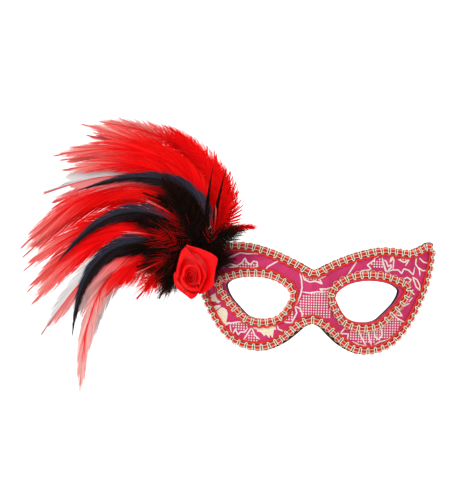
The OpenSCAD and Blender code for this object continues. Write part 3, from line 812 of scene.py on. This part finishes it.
def webs(row, style, start=0.04, rows=9, across=6):
    """Webs of both sides of a blade, as lobes: each lobe is a patch of barbs that hold together, spread along the
    quill at their roots and drawn toward one point at their ends, so that slits open between lobes."""
    st = STYLES[style]
    t = np.linspace(0, 1, rows)[None, None]
    k = np.linspace(-1, 1, across)[None, :, None]
    out = []
    for side in (1.0, -1.0):
        cuts = start * row.length + running(rng.uniform(0.5, 1.5, 200) * st.lobe)
        cuts = np.append(cuts[cuts < row.length * 0.96], row.length * 0.985)
        n = len(cuts) - 1
        a, b = cuts[:-1, None, None], cuts[1:, None, None]
        s0 = (a + b) / 2 + (b - a) / 2 * k * 1.06
        reach, edge = reach_of(row, st, s0)
        far = st.web * (1 - st.ragged * rng.uniform(0, 0.9, (n, 1, 1))) * (1 - 0.1 * k * k)
        q = np.minimum(t * far, 1)
        v = side * edge * (1 - (1 - q) ** 1.25) * (1 + st.over * t**2)
        s = s0 + reach * q**1.25
        s = s - st.draw * rng.uniform(0.7, 1.1, (n, 1, 1)) * (b - a) / 2 * k * t**2.2
        lift = rng.normal(0, st.roll, (n, 1, 1)) * k * t + rng.normal(0, 0.12, (n, 1, 1))
        lift = lift + 0.2 * rng.normal(0, st.stray, (n, 1, 1)) * t
        verts = on_blade(row, s, v, lift - ROOF * v * v).reshape(-1, 3)
        faces = repeat_faces(grid_faces(across, rows, flip=side < 0), n, across * rows)
        shade = rng.random((n, 1, 1)) * 0.8 + 0.1
        out.append((verts, faces, flat_map(q, s0 / row.length), flat_map(shade + 0 * q, side * 0.5 + 0.5)))
    return out


def barbs(row, style, start=0.03, stop=0.985, rows=5, more=1.0):
    """Loose barbs on both sides of a blade, over the webs. Each leaves the quill at a lean and curves toward the
    tip; neighbours draw together. Ribbons with (along barb, place of root along blade) and (shade, side)."""
    st = STYLES[style]
    n = int(row.length * (stop - start) / st.gap * more)
    t = np.linspace(0, 1, rows)[None]
    out = []
    for side in (1.0, -1.0):
        s0 = np.linspace(start, stop, n) * row.length + rng.normal(0, st.gap, n)
        reach, edge = reach_of(row, st, s0)
        clump = np.cumsum(rng.random(n) < 0.14)
        count = clump.max() + 1
        centre = np.bincount(clump, s0, count) / np.maximum(np.bincount(clump, minlength=count), 1)
        uneven = 1 + st.ragged * (rng.uniform(-1, 0.35, count)[clump] * 0.6 + rng.uniform(-1, 0.6, n) * 0.4)
        v = side * (edge * uneven)[:, None] * (1 - (1 - t) ** 1.25)
        s = s0[:, None] + (reach * uneven)[:, None] * t**1.3
        s = s + 0.7 * (centre[clump] - s0)[:, None] * t**2
        wave = rng.normal(0, 0.05, n)[:, None] * edge[:, None] * np.sin(4 * t + rng.uniform(0, 6, n)[:, None])
        stray = rng.normal(0, 1, n)[:, None] * t + 0.15 * rng.normal(0, 1, n)[:, None]
        paths = on_blade(row, s, v + wave, 0.25 * t - ROOF * v * v + st.stray * stray)
        widths = np.broadcast_to(st.root + (st.tip - st.root) * t, s.shape)
        verts, faces = strips(paths, widths, rng.uniform(-0.6, 0.6, n))
        shade = 0.55 * rng.random(count)[clump] + 0.45 * rng.random(n)
        tone = strip_map(shade[:, None] + 0 * t, side * 0.5 + 0.5)
        out.append((verts, faces, strip_map(t, s0[:, None] / row.length), tone))
    return out


def quill(row, thick=0.45):
    """The blade's middle rib: a round rod along the middle line that tapers to its tip."""
    s = np.linspace(0, 1, 28)
    path = on_blade(row, s * row.length, 0 * s, 0 * s + 0.1)[None]
    verts, faces, _ = tubes(path, TO_FRONT, (thick * (1 - s) ** 0.8 + 0.07)[None])
    return verts, faces, flat_map(0, s).repeat(6, axis=0), np.tile((0.35, 0.5), (len(verts), 1))


def fluff(centre, spread, count, reach, layer, rows=7):
    """Down round a point: fine curling strands that start inside an ellipse and run outward."""
    t = np.linspace(0, 1, rows)[None]
    a = rng.uniform(0, TURN, count)
    r = np.sqrt(rng.random(count))
    way = a + rng.normal(0, 0.6, count)
    step = (reach * rng.uniform(0.35, 1.0, count))[:, None] / (rows - 1)
    bend = rng.normal(0, 0.7, count)[:, None]
    h = way[:, None] + bend * t + 0.35 * np.sin(7 * t + rng.uniform(0, 6, count)[:, None])
    x = (centre[0] + spread[0] * r * np.cos(a))[:, None] + np.cumsum(np.cos(h) * step, 1)
    z = (centre[1] + spread[1] * r * np.sin(a))[:, None] + np.cumsum(np.sin(h) * step, 1)
    lift = layer + rng.uniform(-2.5, 2.5, count)[:, None] + np.clip(rng.normal(0, 2.0, count), -4, 3)[:, None] * t
    paths = np.stack([x, fan_depth(x, z, 0) - lift, z], -1)
    verts, faces = strips(paths, np.broadcast_to(0.2 - 0.14 * t, x.shape), rng.uniform(-0.8, 0.8, count))
    shade, side = rng.random(count), rng.random(count)
    return verts, faces, strip_map(t + 0 * x, 0.4), strip_map(shade[:, None] + 0 * t, side[:, None])


def barb_group():
    """Barbs: shade differs from lobe to lobe with fine streaks along the barbs, and fades toward a pale tone past a
    place along the blade (Fade From, Fade To), by its own share on each side of the quill (Outer, Inner), more at the
    barbs' ends, and on the lobes whose random shade lies above a range (Lobe From, Lobe To). On the black barbs the
    pale tone is a painted slate sheen, laid mostly on one side of the quill."""
    takes = {"Deep": (0.4, 0.0, 0.0), "Mid": (0.9, 0.0, 0.0), "Light": (1.0, 0.0, 0.0), "Pale": (1.0, 0.5, 0.5),
             "Fade From": 0.5, "Fade To": 1.0, "Outer": 1.0, "Inner": 1.0, "Most": 0.9,
             "Lobe From": 0.4, "Lobe To": 0.75}
    n = Nodes.group("feather_barbs", takes, {"Color": "Color", "Normal": "Vector"})
    along, root, _ = n.uv()
    shade, side, _ = n.uv("Tone")
    streak = n.streaks(n.times(along, 1.5), n.times(root, 260.0), side)
    value = n.times(shade, 0.45, -0.12)
    value = n.times(streak, 0.7, value)
    value = n.times(along, 0.18, value)
    colour = n.tones(value, (0.2, 0.5, 0.85), [n.takes[k] for k in ("Deep", "Mid", "Light")])
    place = n.times(along, 0.18, root)
    far = n.span(place, n.takes["Fade From"], n.takes["Fade To"], interpolation_type="SMOOTHSTEP")
    outer = n.times(n.takes["Outer"], n.math("SUBTRACT", 1.0, side))
    keep = n.times(n.takes["Inner"], side, outer)
    lobe = n.times(n.span(shade, n.takes["Lobe From"], n.takes["Lobe To"]), 1.1, 0.2)
    out = n.times(n.times(far, n.math("POWER", along, 0.7)), keep)
    out = n.times(n.times(out, lobe), n.times(streak, 1.6, 0.4))
    n.put(n.gives["Color"], n.mix(n.math("MINIMUM", out, n.takes["Most"]), colour, n.takes["Pale"]))
    n.put(n.gives["Normal"], n.bump(streak, 0.35, 0.0002))
    return n


FEATHER_BARBS = barb_group()


def feather_material(name, tones, pale_and_sheen, fade, sides=(1, 1), most=0.9, matt=0.7, lobes=(0.4, 0.75)):
    """Feather whose deep, mid and light tones turn toward a pale tone, on black barbs a painted sheen, along it."""
    n = Nodes.material(name)
    color, normal = n.use(
        FEATHER_BARBS, Deep=tones[0], Mid=tones[1], Light=tones[2], Pale=pale_and_sheen, Fade_From=fade[0], Fade_To=fade[1],
        Outer=sides[0], Inner=sides[1], Most=most, Lobe_From=lobes[0], Lobe_To=lobes[1],
    )
    return n.finish(Base_Color=color, Roughness=matt, Specular_IOR_Level=0.06, Normal=normal)


def feather_materials():
    """Every feather colour by name."""
    reds, grey = ((0.58, 0.0, 0.0008), (0.92, 0.0, 0.002), (1.0, 0.012, 0.006)), (0.80, 0.76, 0.76)
    blacks = (0.002, 0.001, 0.001), (0.009, 0.004, 0.004), (0.026, 0.010, 0.010)
    browns = (0.001, 0.001, 0.0008), (0.005, 0.003, 0.002), (0.028, 0.007, 0.004)
    worn = reds[0], (0.7, 0.10, 0.10), (0.8, 0.4, 0.4)
    rows = {
        "red_barbs": (reds, (1.0, 0.55, 0.50), (0.56, 1.08), (1.5, 1.0), 0.82, 0.7, (0.3, 0.8)),
        "rosy_barbs": (reds, (1.0, 0.66, 0.62), (0.2, 0.62), (1.5, 1.2), 0.85, 0.7, (0.2, 0.75)),
        "flame_barbs": (reds, (1.0, 0.42, 0.36), (0.9, 1.5), (1, 1), 0.5),
        "washed_barbs": (reds, grey, (0.30, 0.5), (1.5, 0.3), 1.0, 0.7, (-0.4, 0.2)),
        "faded_barbs": (worn, grey, (0.05, 0.3), (1.2, 1.2), 0.95, 0.7, (-1, 0.2)),
        # painted sheen: the slate tone, laid mostly on one side of the black barbs, stands for their glossy sheen
        "black_barbs": (blacks, (0.030, 0.031, 0.050), (0.02, 0.2), (1.6, 0.1), 0.9, 0.5, (0.0, 0.01)),
        "black_down": (browns, (0.06, 0.012, 0.008), (0.5, 1.2), (1, 1), 0.7, 0.9),
    }
    return {name: feather_material(name, *row) for name, row in rows.items()}


def build_feathers():
    mats = feather_materials()
    special = {1: "flame", 2: "flame", 8: "washed", 16: "washed", 17: "rosy", 18: "faded", 19: "faded"}
    widened = {8: dict(length=135, curl=98, width=38, layer=5.2), 16: dict(width=22, layer=8.3)}
    for i, row in enumerate(RED_FEATHERS, 1):
        row = row._replace(**widened.get(i, {}))
        style = "loose" if i <= 3 else "hackle"
        parts = [quill(row)] + webs(row, style) + barbs(row, style) + barbs(row, "down", 0.0, 0.14, more=0.6)
        material = mats[special.get(i, "red") + "_barbs"]
        piece(f"red_plume_{i}", joined(parts), material, "red_feather", f"red_feather_{i}")
    for i, row in enumerate(RED_TUFTS, 1):
        row = row._replace(length=row.length * 1.2, width=row.width * 1.4)
        parts = [quill(row, 0.3)] + webs(row, "veil") + barbs(row, "down", 0.0)
        piece(f"red_down_{i}", joined(parts), mats["flame_barbs"], "red_feather", f"red_tuft_{i}")
    for i, row in enumerate(BLACK_FEATHERS, 1):
        row = row._replace(x=row.x - 1.5, z=row.z - 2, width=25)
        parts = [quill(row, 0.35)] + webs(row, "blade") + barbs(row, "blade", more=0.8)
        piece(f"black_plume_{i}", joined(parts), mats["black_barbs"], "black_feather", f"black_feather_{i}")
    soot = mats["black_down"], "black_feather"
    for i, row in enumerate(BLACK_TUFTS, 1):
        style, grow, slim = ("spike", 1.3, 0.6) if row.width < 10 else ("down", 1.25, 0.9)
        row = row._replace(length=row.length * grow, width=row.width * slim)
        parts = [quill(row, 0.3)] + webs(row, style) + barbs(row, style, 0.0, more=1.5)
        piece(f"black_down_{i}", joined(parts), *soot, f"black_tuft_{i}")
    # brown veils: partly brown web, partly painted shade between the black feathers
    for i, (node, row) in enumerate(BLACK_SHADE_VEILS.items(), 1):
        piece(f"brown_shade_veil_{i}", joined(webs(row, "veil") + barbs(row, "veil", 0.0)), *soot, node)
    glints = [part for row in RED_GLINTS for part in barbs(row, "veil", 0.1, more=0.16)]
    piece("red_glints", joined(glints), mats["red_barbs"], "red_feather", "red_feather_9")
    piece("black_fluff", fluff((-88, 27), (17, 13), 9000, 17, 10), *soot, "black_tuft_5")


# ---- ribbon rose
ROSE_AT = np.array([-82.5, 19.5, 13.8])
ROSE_TURN = math.radians(30)
# Each fold: lip and foot, as points right and up of the rose's middle seen from straight ahead, then the heights of
# lip and foot over the rose's back, and how round its edge rolls.
ROSE_FOLDS = [
    (*drawn(  # outer right
        (-66,187, -40,177, 11,167, 69,149, 114,129, 150,100, 147,63, 140,29, 131,-37, 131,-83, 97,-116, 60,-140,
         34,-150),
        (-72,159, -24,112, 9,85, 36,48, 58,6, 62,-29, 52,-57, 40,-83, 30,-120, 27,-134),
    ), 5.4, 2.0, 0.55),
    (*drawn(  # lower left
        (-136,-6, -144,-30, -136,-80, -114,-117, -60,-157, -20,-184, 12,-166, 32,-137),
        (-115,-10, -106,-50, -85,-86, -50,-115, -10,-130, 22,-126, 30,-124),
    ), 5.0, 3.2, 0.5),
    (*drawn(  # middle
        (-129,-36, -126,15, -117,63, -103,126, -74,166, -52,149, -26,120, 13,80, 43,46, 69,-6, 77,-30, 56,-70,
         42,-109, 31,-136),
        (-94,-60, -93,-10, -86,34, -72,69, -56,74, -34,63, -9,49, 14,34, 30,12, 40,-20, 42,-46, 34,-76, 26,-100,
         20,-116),
    ), 8.0, 4.6, 0.6),
    (*drawn(  # front left
        (-92,-26, -96,-54, -82,-86, -52,-112, -16,-128, 16,-127, 30,-116),
        (-66,-24, -66,-50, -52,-76, -28,-92, -4,-98, 12,-92, 20,-80),
    ), 7.8, 5.6, 0.5),
    (*drawn(  # inner top
        (-86,-34, -82,6, -66,38, -38,49, -6,42, 22,30, 36,0, 40,-40, 32,-84),
        (-56,-32, -52,-4, -40,16, -22,22, -6,16, 6,4, 12,-16, 14,-42, 10,-70),
    ), 9.6, 6.6, 0.5),
]


def rose_point(u, v, high):
    """A point seen u right and v up of the rose's middle, high over its back, which is turned outward."""
    back = (u + high * math.sin(ROSE_TURN)) * math.tan(ROSE_TURN) + high * math.cos(ROSE_TURN)
    return ROSE_AT + np.stack([u, -back, v], -1)


def by_length(points, n):
    """A smooth curve through points, as n points evenly spaced along it."""
    p = smooth_run(points, 12)
    at = running(np.linalg.norm(np.diff(p, axis=0), axis=1))
    return run_at(np.linspace(0, at[-1], n), at, p)


def fold(lip, foot, lip_high, foot_high, roll, n=72, m=22, turns=9):
    """One fold of ribbon: from its foot it swells up and out to its lip, then rolls back round a small radius.
    Shallow creases run from foot to lip."""
    lip, foot = by_length(lip, n), by_length(foot, n)
    q = np.linspace(0, 1, m)[:, None]
    t = np.linspace(0, 1, n)[None]
    flat = foot + (lip - foot) * q[..., None]
    crease = 0.22 * np.sin(t * 19 + 2.2 * q) + 0.14 * np.sin(t * 41 + 1.3)
    rise = foot_high + (lip_high - foot_high) * (1 - (1 - q) ** 2) + crease * (0.35 + 0.65 * q)
    ends = np.clip(np.minimum(t, 1 - t) * 12, 0, 1)
    a = np.linspace(0, math.radians(230), turns + 1)[1:, None]
    edge_flat = flat[-1] + unit(lip - foot) * (roll * np.sin(a))[..., None]
    edge_rise = rise[-1] - roll * (1 - np.cos(a)) * (0.4 + 0.6 * ends)
    flat, rise = np.concatenate([flat, edge_flat]), np.concatenate([rise, edge_rise])
    verts = rose_point(flat[..., 0], flat[..., 1], rise)
    # v runs from 0 at the foot, dark with the satin's painted shade, to 12 past the lip
    uv = flat_map(np.linspace(0, 60, n), np.linspace(0, 12, m + turns)[:, None])
    return verts.reshape(-1, 3), grid_faces(m + turns, n, flip=True), uv


def bud(turns=2.6, n=190, m=14):
    """The rolled middle: a ribbon wall wound in a spiral that leans outward, its top edge rounded over, lower the
    farther out it is wound, with a point on one side of each turn."""
    a = np.linspace(0, TURN * turns, n)[None]
    wound = a / a.max()
    q = np.linspace(0, 1, m)[:, None]
    foot, top = 6.6, 10.4 - 1.2 * wound + 0.35 * np.sin(a + 0.8)
    lap = np.where(q > 0.8, (q - 0.8) / 0.2, 0)
    r = 0.3 + 5.6 * wound**0.95
    r = r * (1 + 0.10 * np.cos(3 * a + 0.6)) + 0.9 * (1 - q) + 0.4 * np.sin(lap * np.pi / 2)
    high = foot + (top - foot) * np.minimum(q / 0.8, 1) + 0.2 * np.sin(lap * np.pi) - 0.3 * lap
    verts = rose_point(-2.6 + r * np.cos(a + 0.5) * 0.80, -3.0 + r * np.sin(a + 0.5) * 1.05, high)
    # v starts at 4.2 at the foot, barely touched by the satin's painted shade
    return verts.reshape(-1, 3), grid_faces(m, n, flip=True), flat_map(a * 3, 4.2 + q * 5)


def rose_heart(n=60, m=10):
    """The closed core under the folds: an oval dome, low at its rim and high in the middle, with creases round it."""
    a = np.linspace(0, TURN, n, endpoint=False)[None]
    q = np.linspace(0, 1, m)[:, None]
    high = 8.6 - 5.2 * q**1.5 + 0.3 * np.sin(5 * a + 6 * q) * q
    verts = rose_point(-1.4 + 10.2 * q * np.cos(a), 0.2 + 14.4 * q * np.sin(a), high)
    # v held at 1.4 puts the whole heart partly in the satin's painted shade
    return verts.reshape(-1, 3), grid_faces(m, n, wrap_cols=True), flat_map(a * 6, 1.4 + 0 * q)


def satin_material():
    """Red satin ribbon: fine lines along the ribbon, slow change of shade, a soft broad gloss, and painted shade that
    darkens it where it comes out of a fold."""
    n = Nodes.material("red_satin")
    u, v, _ = n.uv()
    lines = n.streaks(n.times(u, 0.25), n.times(v, 6.0))
    shade = n.math("ADD", n.times(lines, 0.5), n.times(n.noise(160.0, 2.0), 0.5))
    colour = n.ramp(shade, [(0.25, (0.70, 0.0, 0.001)), (0.5, (0.90, 0.0, 0.002)), (0.8, (1.0, 0.008, 0.005))])
    # painted shade: low v, at the foot of each fold and in the heart, is mixed toward dark red
    colour = n.mix(n.span(v, -1.5, 4.5, interpolation_type="SMOOTHSTEP"), (0.42, 0.0, 0.0), colour)
    return n.finish(Base_Color=colour, Roughness=0.4, Specular_IOR_Level=0.18, Normal=n.bump(lines, 0.15, 0.0001))


def build_rose():
    shape = joined([fold(*row) for row in ROSE_FOLDS] + [bud(), rose_heart()])
    nodes = ["rose_bud"] + [f"rose_fold_inner_{i}" for i in (1, 2, 3)] + [f"rose_fold_outer_{i}" for i in (1, 2, 3, 4)]
    rose = piece("ribbon_rose", shape, satin_material(), "red_satin", *nodes)


# ---- stage and lights
def build_stage():
    """Pale floor that sweeps up into a backdrop: a profile of two flats and a quarter circle, carried sideways."""
    floor, front, back, top, r, wide = -170.0, -2500.0, 3200.0, 4000.0, 900.0, 4000.0
    a = np.linspace(-np.pi / 2, 0, 17)
    y = np.concatenate([[front], back - r + r * np.cos(a), [back]])
    z = np.concatenate([[floor], floor + r + r * np.sin(a), [top]])
    verts = np.stack([np.repeat([-wide, wide], len(y)), np.tile(y, 2), np.tile(z, 2)], -1)
    n = Nodes.material("stage_paper")
    tone = n.ramp(n.noise(4.0, 2.0), [(0.3, (0.86, 0.86, 0.86)), (0.7, (0.9, 0.9, 0.9))])
    mesh = bpy.data.meshes.new("stage")
    mesh.from_pydata((verts * MM).tolist(), [], grid_faces(2, len(y)).tolist())
    mesh.materials.append(n.finish(Base_Color=tone, Roughness=0.9))
    obj = bpy.data.objects.new("stage", mesh)
    bpy.context.collection.objects.link(obj)


def soft_light(name, at, aim, size, watts):
    """A square area light at a point in metres, turned to face another."""
    data = bpy.data.lights.new(name, "AREA")
    data.shape, data.size, data.energy = "SQUARE", size, watts
    obj = bpy.data.objects.new(name, data)
    bpy.context.collection.objects.link(obj)
    obj.location = at
    obj.rotation_mode = "QUATERNION"
    obj.rotation_quaternion = (Vector(at) - Vector(aim)).to_track_quat("Z", "Y")


def build_lights():
    world = bpy.data.worlds.new("world")
    bpy.context.scene.world = world
    world.use_nodes = True
    sky = world.node_tree.nodes["Background"]
    sky.inputs["Color"].default_value = (1, 1, 1, 1)
    sky.inputs["Strength"].default_value = 0.55
    mask_mid = (-0.06, 0.03, 0.03)
    soft_light("key", (-0.5, -1.1, 0.9), mask_mid, size=0.7, watts=10)
    soft_light("fill", (0.9, -1.0, 0.2), mask_mid, size=0.9, watts=2.5)
    soft_light("backdrop", (0.0, 1.4, 2.2), (0, 3.2, 0.3), size=2.5, watts=90)
    bpy.context.scene.view_settings.view_transform = "Standard"


build_mask_body()
build_figure()
build_braids()
build_feathers()
build_rose()
build_stage()
build_lights()
